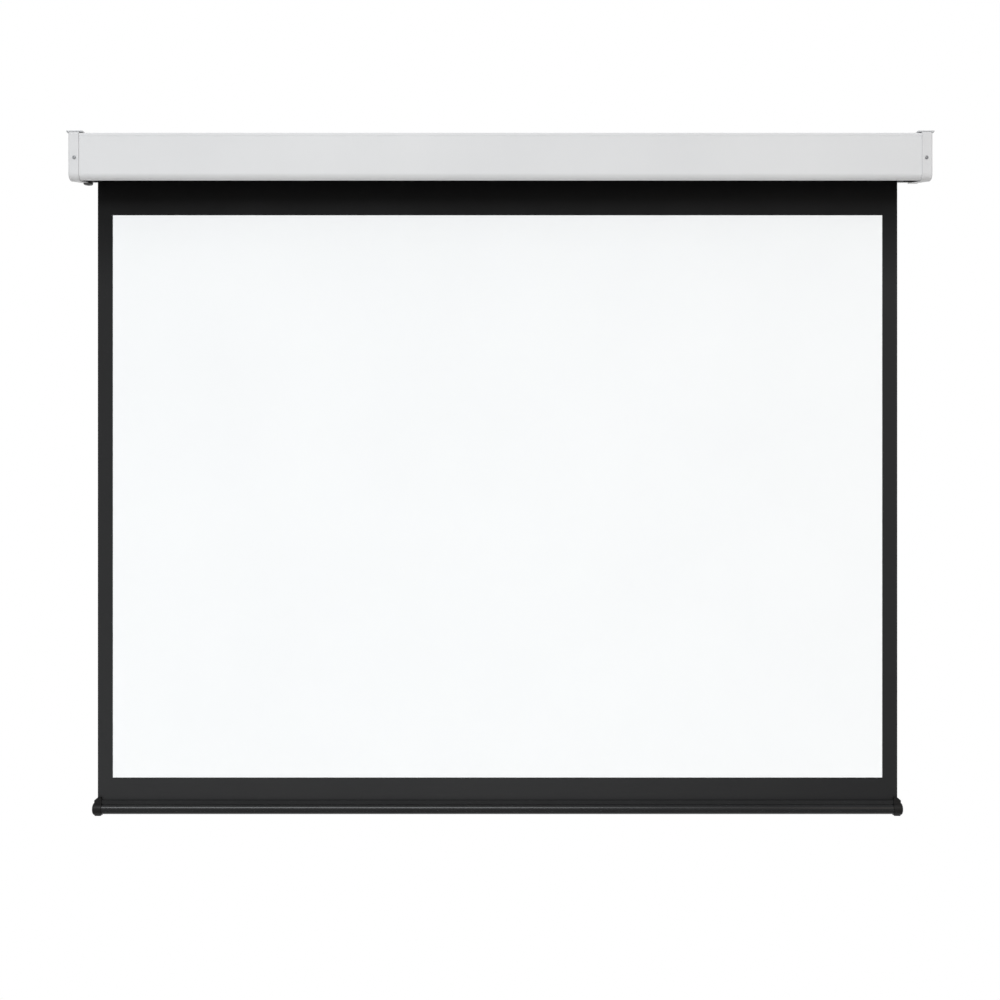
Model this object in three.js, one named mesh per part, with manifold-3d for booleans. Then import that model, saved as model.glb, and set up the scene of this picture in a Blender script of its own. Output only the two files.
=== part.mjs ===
// Motorized projection screen, let down: a wall-hung case with a tubular motor in its roller.
// Millimetres. X runs along the case, Y from the room to the wall, Z up.
// The origin is the centre of the case's back face.
import * as THREE from 'three';
import { mergeVertices } from 'three/addons/utils/BufferGeometryUtils.js';
import Module from 'manifold-3d';

const wasm = await Module();
wasm.setup();

// Gap between pieces that rest on each other, and how far a cut runs past its piece
const seat = 0.3;
const overrun = 5;

// Projection sheet: a white film on a black-backed sheet that frames it
const viewWidth = 2032;
const viewHeight = 1485;
const sideBorder = 40;
const topDrop = 74;
const bottomBorder = 59;
const backingThickness = 0.4;
const filmThickness = 0.3;

// Room at the two ends of the case, between the sheet's edge and the end cap's outer face
const motorEndRoom = 48.5;
const idlerEndRoom = 63.5;

// Case: one open section with a slot along its underside
const caseHeight = 120;
const caseDepth = 120;
const caseWall = 1.2;
const frontRadius = 15;
const topRadius = 5;
const rearRadius = 3;
const frontLipReturn = 2;
const rearRise = 18;
const rearLipDepth = 10;
const frontCurveSteps = 8;
const cornerSteps = 4;

// End caps: moulded cups that wrap over the case's ends
const capSkirt = 27;
const capWall = 2.2;
const capCornerRadius = 6;
const capCornerSteps = 6;

// End plates: steel pressings inside the caps, riveted to the case's back
const plateThickness = 2.5;
const plateInset = 4;
const flangeLength = 30;
const rearFlangeLift = 3;
const glandFlangeLength = 25;
const glandFlangeFront = 78;
const rivetRadius = 2;
const rivetHeadRadius = 4;
const rivetHeadHeight = 1.2;
const rivetSunkRadius = 3.2;
const rivetSpacing = 50;
const rivetFromFlangeEnd = 7;

// Fasteners of the caps and hangers
const fastenerInset = 16;
const capScrewDrop = 65;
const capScrewRadius = 2;
const capScrewHeadRadius = 4.5;
const capScrewHeadHeight = 2.4;
const hangerBoltRadius = 2.5;
const hangerBoltHeadRadius = 4.8;
const hangerBoltHeadHeight = 2.3;
const nutAcross = 8;
const nutHeight = 4;

// Hangers: steel angles over the caps, with a leg that stands up against the wall
const hangerOverhang = 7;
const hangerWidth = 43;
const hangerThickness = 3;
const hangerLegHeight = 22;
const hangerFrontInset = 2;
const hangerHoleRadius = 2.3;
const hangerHoleInset = 10;
const hangerHoleLift = 12;

// Roller: an aluminium tube that the sheet winds on
const rollerDepth = 58;
const rollerHeight = 16;
const rollerRadius = 26;
const rollerWall = 1.2;
const rollThickness = 2;
const motorTubeEndGap = 23;
const idlerTubeEndGap = 33;

// Tubular motor in the roller's left end
const headLength = 16;
const headRadius = 24;
const spigotLength = 12;
const motorRadius = 22;
const motorWall = 1.2;
const motorLength = 547;
const capacitorLength = 60;
const coreLength = 210;
const innerGap = 0.6;
const gearboxLength = 160;
const shaftRadius = 6;
const shaftSocket = 15;
const shaftReach = 40;
const wheelLength = 22;
const wheelStandoff = 10;
const clipThickness = 1.5;
const clipWidth = 3;
const crownLength = 18;
const crownFlange = 3.6;
const crownFlangeRise = 1;
const motorScrewRadius = 2.5;
const motorScrewHeadRadius = 4.2;
const motorScrewHeadHeight = 2.6;
const motorScrewSpacing = 30;
const motorScrewBite = 12;
const limitScrewRadius = 3;
const limitScrewLength = 9;
const limitScrewSpacing = 16;
const limitScrewProud = 2;
const limitSocketRadius = 1.6;
const limitSocketDepth = 4;

// Idler in the roller's right end: a sprung pin that drops out of its bush
const plugLength = 40;
const plugBack = 4;
const plugBoreRadius = 8.4;
const plugFlange = 3.7;
const retainerLength = 4;
const retainerInset = 1;
const pinRadius = 6;
const collarRadius = 8;
const collarLength = 7.7;
const tailRadius = 3.5;
const tailLength = 23;
const springWireRadius = 0.9;
const springRadius = 6.2;
const springTurns = 6;
const springStepsPerTurn = 8;
const springSides = 5;
const bushRadius = 11;
const bushFlangeRise = 3;
const bushFlangeLength = 3;

// Cable inlet and wiring at the motor end
const glandInset = 14.5;
const glandDepth = 28;
const glandRadius = 12;
const glandNotchGap = 1;
const glandFlangeHeight = 4;
const glandThreadRadius = 7.5;
const glandThreadHeight = 6;
const glandBoreRadius = 3.8;
const glandCapHeight = 8;
const glandCapRadius = 12;
const glandChamfer = 2;
const blockWidth = 14;
const blockDepth = 18;
const blockHeight = 22;
const blockBack = 8;
const blockTop = 6;
const blockScrewRadius = 1.6;
const blockScrewHeadRadius = 3;
const blockScrewHeadHeight = 1.8;
const leadRadius = 2.5;
const leadBend = 8;
const leadSteps = 9;
const leadSides = 8;

// Bottom bar: an aluminium section that clamps the sheet's hem round a rod
const barHeight = 37.5;
const barRadius = 14;
const barNeckWidth = 12;
const barSlotWidth = 3.4;
const barOverhang = 12;
const barWall = 1.6;
const hemChannelRadius = 4.6;
const hemChannelDrop = 13;
const hemRodRadius = 3.2;
const barCapLength = 24;
const barCapWall = 2.2;
const barCapEnd = 6.5;
const barCapFin = 8;
const barCapShoulder = 14;
const barCapNeckInset = 4.5;
const barCapNeckDrop = 6;
const barCapBodyDrop = 14;
const barCapCorner = 6;
const barFootLength = 17;
const barFootInset = 5;
const barFootWidth = 14;
const barFootDrop = 4;

// Facets of round pieces
const largeSides = 40;
const smallSides = 20;

// Places worked out from the sizes
const sheetWidth = viewWidth + sideBorder + sideBorder;
const caseSpan = sheetWidth + motorEndRoom + idlerEndRoom;
const halfSpan = caseSpan / 2;
const sheetLeft = -halfSpan + motorEndRoom;
const sheetRight = halfSpan - idlerEndRoom;
const sheetCentre = (sheetLeft + sheetRight) / 2;
const frontLipDepth = caseDepth - frontRadius - frontLipReturn;
const caseTop = caseHeight / 2;
const caseBottom = -caseHeight / 2;
const rearBottom = caseBottom + rearRise;
const capProud = seat + capWall;
const capTop = caseTop + capProud;
const capBottom = caseBottom - capProud;
const plateOuter = halfSpan - capWall - plateInset;
const plateInner = plateOuter - plateThickness;
const flangeEnd = plateInner - flangeLength;
const fastenerX = halfSpan - fastenerInset;
const caseHalfLength = fastenerX - hangerBoltRadius - seat - seat;
const capScrewZ = caseTop - capScrewDrop;
const rollerLeft = -plateInner + motorTubeEndGap;
const rollerRight = plateInner - idlerTubeEndGap;
const rollerBore = rollerRadius - rollerWall;
const rollInner = rollerRadius + seat;
const rollOuter = rollInner + rollThickness;
const filmFront = -rollerDepth + rollOuter + seat;
const backingFront = filmFront + filmThickness + seat;
const backingBack = backingFront + backingThickness;
const sheetMiddle = (filmFront + backingBack) / 2;
const viewTop = caseBottom - topDrop;
const viewBottom = viewTop - viewHeight;
const barTop = viewBottom - bottomBorder;
const hemDrop = hemChannelDrop - hemRodRadius - seat;

// Materials
const paint = (colour, roughness, metalness) =>
  new THREE.MeshStandardMaterial({ color: colour, roughness, metalness });
const finishes = {
  caseWhite: paint(0xe6e7e8, 0.4, 0),
  capWhite: paint(0xe2e2e4, 0.5, 0),
  zincSteel: paint(0xaeb1b4, 0.35, 1),
  darkSteel: paint(0x2a2b2d, 0.5, 0.6),
  aluminium: paint(0xb9bcc0, 0.35, 1),
  blackPlastic: paint(0x1b1c1e, 0.55, 0),
  greyPlastic: paint(0x8b8e92, 0.6, 0),
  whiteFilm: paint(0xf6f7f8, 0.9, 0),
  blackSheet: paint(0x222326, 0.85, 0),
  blackBar: paint(0x26272a, 0.3, 0.4),
  brass: paint(0xb08d4c, 0.35, 1),
};

// A closed geometry as a solid that can be joined and cut, with its faces turned outwards
function asSolid(geometry) {
  geometry.deleteAttribute('normal');
  geometry.deleteAttribute('uv');
  const merged = mergeVertices(geometry);
  const places = merged.attributes.position;
  const index = merged.index.array;
  const corner = [0, 1, 2].map(() => new THREE.Vector3());
  const triangles = [];
  let volume = 0;
  for (let i = 0; i < index.length; i += 3) {
    const triangle = [index[i], index[i + 1], index[i + 2]];
    if (new Set(triangle).size < triangle.length) continue;
    triangle.forEach((vertex, n) => corner[n].fromBufferAttribute(places, vertex));
    volume += corner[0].dot(corner[1].cross(corner[2]));
    triangles.push(triangle);
  }
  const outwards = volume < 0 ? triangles.map(([a, b, c]) => [a, c, b]) : triangles;
  return new wasm.Manifold(new wasm.Mesh({
    numProp: 3,
    vertProperties: places.array,
    triVerts: Uint32Array.from(outwards.flat()),
  }));
}

function asGeometry(solid) {
  const cut = solid.getMesh();
  const geometry = new THREE.BufferGeometry();
  geometry.setAttribute('position', new THREE.BufferAttribute(cut.vertProperties, 3));
  geometry.setIndex(new THREE.BufferAttribute(cut.triVerts, 1));
  geometry.computeVertexNormals();
  return geometry;
}

// The three ways that a flat outline is turned before it is pushed out
const along = {
  x: new THREE.Matrix4().makeBasis(
    new THREE.Vector3(0, 1, 0), new THREE.Vector3(0, 0, 1), new THREE.Vector3(1, 0, 0)),
  y: new THREE.Matrix4().makeBasis(
    new THREE.Vector3(0, 0, 1), new THREE.Vector3(1, 0, 0), new THREE.Vector3(0, 1, 0)),
  z: new THREE.Matrix4(),
};

// An outline pushed out from one place to another: (y, z) along x, (z, x) along y, (x, y) along z
function prism(axis, outline, from, to, holes = []) {
  const shape = new THREE.Shape(outline.map(([a, b]) => new THREE.Vector2(a, b)));
  for (const hole of holes) {
    shape.holes.push(new THREE.Path(hole.map(([a, b]) => new THREE.Vector2(a, b))));
  }
  const depth = Math.abs(to - from);
  const geometry = new THREE.ExtrudeGeometry(shape, { depth, bevelEnabled: false });
  geometry.translate(0, 0, Math.min(from, to));
  geometry.applyMatrix4(along[axis]);
  return asSolid(geometry);
}

function block(x0, x1, y0, y1, z0, z1) {
  const [left, right] = x0 < x1 ? [x0, x1] : [x1, x0];
  return prism('x', [[y0, z0], [y1, z0], [y1, z1], [y0, z1]], left, right);
}

// Points of an arc about a centre, from one angle to another
function arc(centreA, centreB, radius, start, end, steps) {
  return Array.from({ length: steps + 1 }, (_, i) => {
    const angle = start + ((end - start) * i) / steps;
    return [centreA + radius * Math.cos(angle), centreB + radius * Math.sin(angle)];
  });
}

const ring = (radius, sides) => arc(0, 0, radius, 0, 2 * Math.PI, sides).slice(0, sides);

// A profile of [place along the axis, radius], turned about the axis through a point
function turned(axis, profile, at, sides = smallSides) {
  const points = profile.map(([place, radius]) => new THREE.Vector2(radius, place));
  const geometry = new THREE.LatheGeometry(points, sides);
  if (axis === 'x') geometry.rotateZ(-Math.PI / 2);
  if (axis === 'z') geometry.rotateX(Math.PI / 2);
  geometry.translate(at[0], at[1], at[2]);
  return asSolid(geometry);
}

const rod = (axis, from, to, radius, at, sides) =>
  turned(axis, [[from, 0], [from, radius], [to, radius], [to, 0]], at, sides);

const sleeve = (axis, from, to, inner, outer, at, sides) =>
  turned(axis, [[from, inner], [from, outer], [to, outer], [to, inner], [from, inner]], at, sides);

// A round tube of one thickness along a smooth route
function tubeAlong(route, radius, steps, sides) {
  const section = new THREE.Shape(ring(radius, sides).map(([a, b]) => new THREE.Vector2(a, b)));
  return asSolid(new THREE.ExtrudeGeometry(section, { steps, bevelEnabled: false, extrudePath: route }));
}

// An open outline moved inwards (its right-hand side) by a distance
function moved(points, distance) {
  return points.map((point, i) => {
    const before = points[Math.max(i - 1, 0)];
    const after = points[Math.min(i + 1, points.length - 1)];
    const sides = [[before, point], [point, after]]
      .map(([from, to]) => new THREE.Vector2(to[1] - from[1], from[0] - to[0]))
      .filter((side) => side.length() > 0)
      .map((side) => side.normalize());
    const mitre = sides[0].clone().add(sides[sides.length - 1]).normalize();
    const reach = distance / mitre.dot(sides[0]);
    return [point[0] + mitre.x * reach, point[1] + mitre.y * reach];
  });
}

const strip = (points, outer, inner) => [...moved(points, outer), ...moved(points, inner).reverse()];

// The model and its three moving groups
const screen = new THREE.Group();
const roller = new THREE.Group();
roller.position.set(0, -rollerDepth, rollerHeight);
const bar = new THREE.Group();
bar.position.set(sheetCentre, sheetMiddle, barTop);
screen.add(roller, bar);

function add(group, name, solid, finish) {
  const mesh = new THREE.Mesh(asGeometry(solid), finishes[finish]);
  mesh.name = name;
  group.add(mesh);
}

// The case's outer surface, from the front lip up and over to the rear lip
const frontCurve = arc(-caseDepth + frontRadius, caseBottom + frontRadius, frontRadius,
  Math.PI * 3 / 2, Math.PI, frontCurveSteps);
const overTheTop = [
  ...arc(-caseDepth + topRadius, caseTop - topRadius, topRadius, Math.PI, Math.PI / 2, cornerSteps),
  ...arc(-topRadius, caseTop - topRadius, topRadius, Math.PI / 2, 0, cornerSteps),
];
const casePath = [
  [-frontLipDepth, caseBottom],
  ...frontCurve,
  ...overTheTop,
  ...arc(-rearRadius, rearBottom + rearRadius, rearRadius, 0, -Math.PI / 2, cornerSteps),
  [-rearLipDepth, rearBottom],
];
const flangePath = [frontCurve[frontCurve.length - 1], ...overTheTop, [0, rearBottom + rearFlangeLift]];

// A cut for a fastener's shank
const drill = (axis, from, to, radius, at) => rod(axis, from, to, radius + seat, at);

// Case shell, with rivet holes sunk into its back
const rivetX = flangeEnd + rivetFromFlangeEnd;
const rivetZ = rivetSpacing / 2;
const rivetPlaces = [-1, 1].flatMap((side) => [-1, 1].map((level) => [side, level]));
const rivetInner = caseWall + seat + plateThickness;
function sunkRivet(clear, inner, outer) {
  return [
    [inner, 0],
    [inner, rivetRadius + clear],
    [-caseWall, rivetRadius + clear],
    [-seat, rivetSunkRadius + clear],
    [outer, rivetSunkRadius + clear],
    [outer, 0],
  ];
}
function rivetCuts(solid, places) {
  const cut = sunkRivet(seat, -rivetInner - overrun, overrun);
  return places.reduce((rest, [side, level]) =>
    rest.subtract(turned('y', cut, [side * rivetX, 0, level * rivetZ])), solid);
}
add(screen, 'case_shell',
  rivetCuts(prism('x', strip(casePath, 0, caseWall), -caseHalfLength, caseHalfLength), rivetPlaces),
  'caseWhite');

// Rivets: a head sunk into the case's back and a set head inside the flange
for (const [side, level] of rivetPlaces) {
  const end = side < 0 ? 'left' : 'right';
  const height = level < 0 ? 'lower' : 'upper';
  const shank = -rivetInner - seat;
  add(screen, `case_rivet_${end}_${height}`, turned('y', [
    [shank - rivetHeadHeight, 0],
    [shank - rivetHeadHeight, rivetHeadRadius],
    [shank, rivetHeadRadius],
    ...sunkRivet(0, shank, -seat).slice(1),
  ], [side * rivetX, 0, level * rivetZ]), 'zincSteel');
}

// End caps: the outer form less its hollow, both rounded at the outer corners below and in front
const capFront = -caseDepth - capProud;
const capBack = capProud;
function roundedEnd(side, inset) {
  const radius = capCornerRadius - inset;
  const centreX = halfSpan - capCornerRadius;
  const outline = (low, high) => [
    [high, 0],
    [low + inset, 0],
    ...arc(low + capCornerRadius, centreX, radius, Math.PI, Math.PI / 2, capCornerSteps),
    [high, halfSpan - inset],
  ];
  const fromFront = outline(capBottom, capTop + overrun).map(([z, x]) => [z, side * x]);
  const fromAbove = outline(capFront, capBack + overrun).map(([y, x]) => [side * x, y]);
  return prism('y', fromFront, capFront - overrun, capBack + overrun)
    .intersect(prism('z', fromAbove, capBottom - overrun, capTop + overrun));
}

function endCap(side) {
  const skirtEnd = halfSpan - capSkirt;
  const outside = prism('x', moved(casePath, -capProud), side * skirtEnd, side * halfSpan)
    .intersect(roundedEnd(side, 0));
  const openEnd = side * (skirtEnd - overrun);
  const hollow = prism('x', moved(casePath, -seat), openEnd, side * (halfSpan - capWall))
    .intersect(roundedEnd(side, capWall));
  const screwHole = drill('y', -caseDepth - overrun, -caseDepth + overrun, capScrewRadius,
    [side * fastenerX, 0, capScrewZ]);
  const boltHole = drill('z', caseTop - overrun, capTop + overrun, hangerBoltRadius,
    [side * fastenerX, -caseDepth / 2, 0]);
  return outside.subtract(hollow).subtract(screwHole).subtract(boltHole);
}

// End plates: a flat web with a bent flange that lies inside the case
function endPlate(side) {
  const inside = caseWall + seat;
  const web = prism('x', moved(casePath, inside), side * plateInner, side * plateOuter);
  const flange = prism('x', strip(flangePath, inside, inside + plateThickness),
    side * flangeEnd, side * plateOuter);
  const screwHole = drill('y', -caseDepth - overrun, -caseDepth + inside + plateThickness + overrun,
    capScrewRadius, [side * fastenerX, 0, capScrewZ]);
  const boltHole = drill('z', caseTop - inside - plateThickness - overrun, caseTop + overrun,
    hangerBoltRadius, [side * fastenerX, -caseDepth / 2, 0]);
  const pressed = web.add(flange).subtract(screwHole).subtract(boltHole);
  return rivetCuts(pressed, rivetPlaces.filter(([end]) => end === side));
}

// The left plate also has a lower flange that carries the cable gland
const glandX = -plateInner + glandInset;
const glandAt = [glandX, -glandDepth, 0];
const plateBottom = rearBottom + caseWall + seat;
const glandFlange = block(-plateOuter, -plateInner + glandFlangeLength,
  -glandFlangeFront, -caseWall - seat - plateThickness / 2, plateBottom, plateBottom + plateThickness)
  .intersect(prism('x', moved(casePath, caseWall + seat), -plateOuter, -plateInner + glandFlangeLength));
const glandHole = drill('z', plateBottom - overrun, plateBottom + plateThickness + overrun,
  glandThreadRadius, glandAt);
const motorScrewZs = [-1, 1].map((level) => rollerHeight + (level * motorScrewSpacing) / 2);
const leftPlate = motorScrewZs.reduce(
  (plate, z) => plate.subtract(drill('x', -plateOuter - overrun, -plateInner + overrun,
    motorScrewRadius, [0, -rollerDepth, z])),
  endPlate(-1).add(glandFlange).subtract(glandHole));
const bushHole = drill('x', plateInner - overrun, plateOuter + overrun, bushRadius,
  [0, -rollerDepth, rollerHeight]);
const blockMiddleY = -blockBack - blockDepth / 2;
const blockMiddleZ = blockTop - blockHeight / 2;
const blockScrewHole = drill('x', -plateOuter - overrun, -plateInner + blockWidth + overrun,
  blockScrewRadius, [0, blockMiddleY, blockMiddleZ]);
const besideCap = (side) => roundedEnd(side, capWall + seat);
const endPlates = {
  left: leftPlate.subtract(blockScrewHole).intersect(besideCap(-1)),
  right: endPlate(1).subtract(bushHole).intersect(besideCap(1)),
};

// The left cap's underside is notched round the gland
const glandNotch = rod('z', capBottom - overrun, plateBottom, glandRadius + glandNotchGap, glandAt);
const endCaps = { left: endCap(-1).subtract(glandNotch), right: endCap(1) };

// Hangers: an angle from the cap's top to the wall, with two wall holes and a sunk bolt hole
const hangerBottom = capTop + seat;
const hangerTop = hangerBottom + hangerThickness;
const hangerOuter = halfSpan + hangerOverhang;
const hangerInner = hangerOuter - hangerWidth;
const hangerOutline = [
  [-caseDepth + hangerFrontInset, hangerBottom],
  [capProud, hangerBottom],
  [capProud, hangerTop + hangerLegHeight],
  [capProud - hangerThickness, hangerTop + hangerLegHeight],
  [capProud - hangerThickness, hangerTop],
  [-caseDepth + hangerFrontInset, hangerTop],
];
function sunkBolt(clear, bottom, top) {
  const headTop = hangerTop - seat;
  return [
    [bottom, 0],
    [bottom, hangerBoltRadius + clear],
    [headTop - hangerBoltHeadHeight, hangerBoltRadius + clear],
    [headTop, hangerBoltHeadRadius + clear],
    [top, hangerBoltHeadRadius + clear],
    [top, 0],
  ];
}
function hanger(side) {
  const wallHoles = [hangerInner + hangerHoleInset, hangerOuter - hangerHoleInset].map((x) =>
    rod('y', capProud - hangerThickness - overrun, capProud + overrun, hangerHoleRadius,
      [side * x, 0, hangerTop + hangerHoleLift]));
  const boltCut = turned('z', sunkBolt(seat, hangerBottom - overrun, hangerTop + overrun),
    [side * fastenerX, -caseDepth / 2, 0]);
  const angle = prism('x', hangerOutline, side * hangerInner, side * hangerOuter);
  return [...wallHoles, boltCut].reduce((cut, hole) => cut.subtract(hole), angle);
}
const nutTop = caseTop - caseWall - seat - plateThickness - seat;
const nutBottom = nutTop - nutHeight;
const hexagon = ring(nutAcross / Math.sqrt(3), 6);
const nutBore = ring(hangerBoltRadius + seat, smallSides);

for (const [end, side] of [['left', -1], ['right', 1]]) {
  add(screen, `end_cap_${end}`, endCaps[end], 'capWhite');
  add(screen, `end_plate_${end}`, endPlates[end], 'darkSteel');
  add(screen, `hanger_${end}`, hanger(side), 'caseWhite');
  const boltAt = [side * fastenerX, -caseDepth / 2, 0];
  const tip = nutBottom - seat;
  const bolt = turned('z', sunkBolt(0, tip, hangerTop - seat), boltAt);
  add(screen, `hanger_bolt_${end}`, bolt, 'zincSteel');
  const nut = prism('z', hexagon, nutBottom, nutTop, [nutBore]).translate(boltAt);
  add(screen, `hanger_nut_${end}`, nut, 'zincSteel');
  const headBack = capFront - seat;
  const screwTip = -caseDepth + caseWall + seat + plateThickness + seat;
  add(screen, `cap_screw_${end}`, turned('y', [
    [headBack - capScrewHeadHeight, 0],
    [headBack - capScrewHeadHeight, capScrewHeadRadius * 2 / 3],
    [headBack - capScrewHeadHeight / 2, capScrewHeadRadius],
    [headBack, capScrewHeadRadius],
    [headBack, capScrewRadius],
    [screwTip, capScrewRadius],
    [screwTip, 0],
  ], [side * fastenerX, 0, capScrewZ]), 'zincSteel');
}

// Tubular motor: head, steel tube and the sealed units in the tube, all fixed to the left plate
const headLeft = -plateInner + seat;
const headRight = headLeft + headLength;
const tubeLeft = headRight + seat;
const tubeRight = tubeLeft + motorLength;
const motorBore = motorRadius - motorWall;
const unitRadius = motorBore - seat;
const axisAt = [0, 0, 0];
const leadX = headLeft + headLength / 2;
const limitAt = [-1, 1].map((way) => [leadX, (way * limitScrewSpacing) / 2, 0]);
const limitBottom = -Math.sqrt(headRadius ** 2 - (limitScrewSpacing / 2) ** 2) - limitScrewProud;
const limitTop = limitBottom + limitScrewLength;
const headBody = turned('x', [
  [headLeft, 0],
  [headLeft, headRadius],
  [headRight, headRadius],
  [headRight, unitRadius],
  [headRight + spigotLength, unitRadius],
  [headRight + spigotLength, 0],
], axisAt, largeSides);
const headCuts = [
  ...[-1, 1].map((level) => drill('x', headLeft - overrun, headLeft + motorScrewBite + seat,
    motorScrewRadius, [0, 0, (level * motorScrewSpacing) / 2])),
  ...limitAt.map((at) => drill('z', limitBottom - overrun, limitTop + seat, limitScrewRadius, at)),
  drill('y', headRadius - leadRadius - leadRadius, headRadius + overrun, leadRadius, [leadX, 0, 0]),
];
const head = headCuts.reduce((cut, hole) => cut.subtract(hole), headBody);
const capacitorLeft = headRight + spigotLength + innerGap;
const coreLeft = capacitorLeft + capacitorLength + innerGap;
const gearboxLeft = tubeRight - gearboxLength;
const shaftLeft = tubeRight - shaftSocket;
const shaftRight = tubeRight + shaftReach;
const fixedMotor = new THREE.Group();
fixedMotor.position.copy(roller.position);
screen.add(fixedMotor);
add(fixedMotor, 'motor_head', head, 'blackPlastic');
add(fixedMotor, 'motor_tube',
  sleeve('x', tubeLeft, tubeRight, motorBore, motorRadius, axisAt, largeSides), 'zincSteel');
add(fixedMotor, 'run_capacitor',
  rod('x', capacitorLeft, capacitorLeft + capacitorLength, unitRadius, axisAt, largeSides), 'greyPlastic');
add(fixedMotor, 'motor_core',
  rod('x', coreLeft, coreLeft + coreLength, unitRadius, axisAt, largeSides), 'darkSteel');
add(fixedMotor, 'motor_gearbox',
  rod('x', gearboxLeft, tubeRight, unitRadius, axisAt, largeSides)
    .subtract(drill('x', shaftLeft - seat, tubeRight + overrun, shaftRadius, axisAt)), 'darkSteel');
for (const [name, level] of [['lower', -1], ['upper', 1]]) {
  const headFace = -plateOuter - seat;
  add(fixedMotor, `motor_screw_${name}`, turned('x', [
    [headFace - motorScrewHeadHeight, 0],
    [headFace - motorScrewHeadHeight, motorScrewHeadRadius],
    [headFace, motorScrewHeadRadius],
    [headFace, motorScrewRadius],
    [headLeft + motorScrewBite, motorScrewRadius],
    [headLeft + motorScrewBite, 0],
  ], [0, 0, (level * motorScrewSpacing) / 2]), 'zincSteel');
}

// Limit screws, set with a key from below
for (const [name, at] of [['up', limitAt[0]], ['down', limitAt[1]]]) {
  add(fixedMotor, `limit_screw_${name}`, turned('z', [
    [limitBottom + limitSocketDepth, 0],
    [limitBottom + limitSocketDepth, limitSocketRadius],
    [limitBottom, limitSocketRadius],
    [limitBottom, limitScrewRadius],
    [limitTop, limitScrewRadius],
    [limitTop, 0],
  ], at), 'brass');
}

// Roller: tube, the turns of sheet left on it, and what turns with it at the motor end
const inTube = rollerBore - seat;
add(roller, 'roller_tube',
  sleeve('x', rollerLeft, rollerRight, rollerBore, rollerRadius, axisAt, largeSides), 'aluminium');
add(roller, 'sheet_roll',
  sleeve('x', sheetLeft, sheetRight, rollInner, rollOuter, axisAt, largeSides), 'blackSheet');
const crownBore = motorRadius + seat;
const crownLeft = rollerLeft - seat - crownFlange;
add(roller, 'motor_crown', turned('x', [
  [crownLeft, crownBore],
  [crownLeft, rollerRadius + crownFlangeRise],
  [crownLeft + crownFlange, rollerRadius + crownFlangeRise],
  [crownLeft + crownFlange, inTube],
  [crownLeft + crownLength, inTube],
  [crownLeft + crownLength, crownBore],
  [crownLeft, crownBore],
], axisAt, largeSides), 'blackPlastic');
add(roller, 'output_shaft', rod('x', shaftLeft, shaftRight, shaftRadius, axisAt), 'zincSteel');
const wheelLeft = tubeRight + wheelStandoff;
const wheelRight = wheelLeft + wheelLength;
const wheelBore = shaftRadius + seat;
add(roller, 'drive_wheel',
  sleeve('x', wheelLeft, wheelRight, wheelBore, inTube, axisAt, largeSides), 'blackPlastic');
const clipLeft = wheelRight + seat;
add(roller, 'shaft_clip',
  sleeve('x', clipLeft, clipLeft + clipThickness, wheelBore, wheelBore + clipWidth, axisAt), 'zincSteel');

// Idler: plug, sprung pin with its collar, spring and retainer, and the bush in the right plate
const plugRight = rollerRight + seat + plugFlange;
const plugLeft = rollerRight + seat - plugLength;
add(roller, 'idler_plug', turned('x', [
  [plugLeft, tailRadius + seat],
  [plugLeft, inTube],
  [rollerRight + seat, inTube],
  [rollerRight + seat, rollerRadius + crownFlangeRise],
  [plugRight, rollerRadius + crownFlangeRise],
  [plugRight, plugBoreRadius],
  [plugLeft + plugBack, plugBoreRadius],
  [plugLeft + plugBack, tailRadius + seat],
  [plugLeft, tailRadius + seat],
], axisAt, largeSides), 'blackPlastic');
const retainerRight = plugRight - retainerInset;
const retainerLeft = retainerRight - retainerLength;
add(roller, 'idler_retainer',
  sleeve('x', retainerLeft, retainerRight, pinRadius + seat, plugBoreRadius - seat, axisAt), 'zincSteel');
const collarRight = retainerLeft - seat;
const collarLeft = collarRight - collarLength;
const pinTip = plateOuter - seat;
add(roller, 'idler_pin', turned('x', [
  [collarLeft - tailLength, 0],
  [collarLeft - tailLength, tailRadius],
  [collarLeft, tailRadius],
  [collarLeft, collarRadius],
  [collarRight, collarRadius],
  [collarRight, pinRadius],
  [pinTip, pinRadius],
  [pinTip, 0],
], axisAt), 'zincSteel');
class Helix extends THREE.Curve {
  constructor(from, to, radius, turns) {
    super();
    Object.assign(this, { from, to, radius, turns });
  }

  getPoint(share, target = new THREE.Vector3()) {
    const angle = share * this.turns * 2 * Math.PI;
    return target.set(
      this.from + (this.to - this.from) * share,
      this.radius * Math.cos(angle),
      this.radius * Math.sin(angle),
    );
  }
}
const springEnd = springWireRadius + seat + seat;
const springRoute = new Helix(
  plugLeft + plugBack + springEnd, collarLeft - springEnd, springRadius, springTurns);
add(roller, 'idler_spring',
  tubeAlong(springRoute, springWireRadius, springTurns * springStepsPerTurn, springSides), 'zincSteel');
const bushLeft = plateInner - seat - bushFlangeLength;
add(fixedMotor, 'idler_bush', turned('x', [
  [bushLeft, pinRadius + seat],
  [bushLeft, bushRadius + bushFlangeRise],
  [bushLeft + bushFlangeLength, bushRadius + bushFlangeRise],
  [bushLeft + bushFlangeLength, bushRadius],
  [plateOuter, bushRadius],
  [plateOuter, pinRadius + seat],
  [bushLeft, pinRadius + seat],
], axisAt, largeSides), 'greyPlastic');

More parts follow.
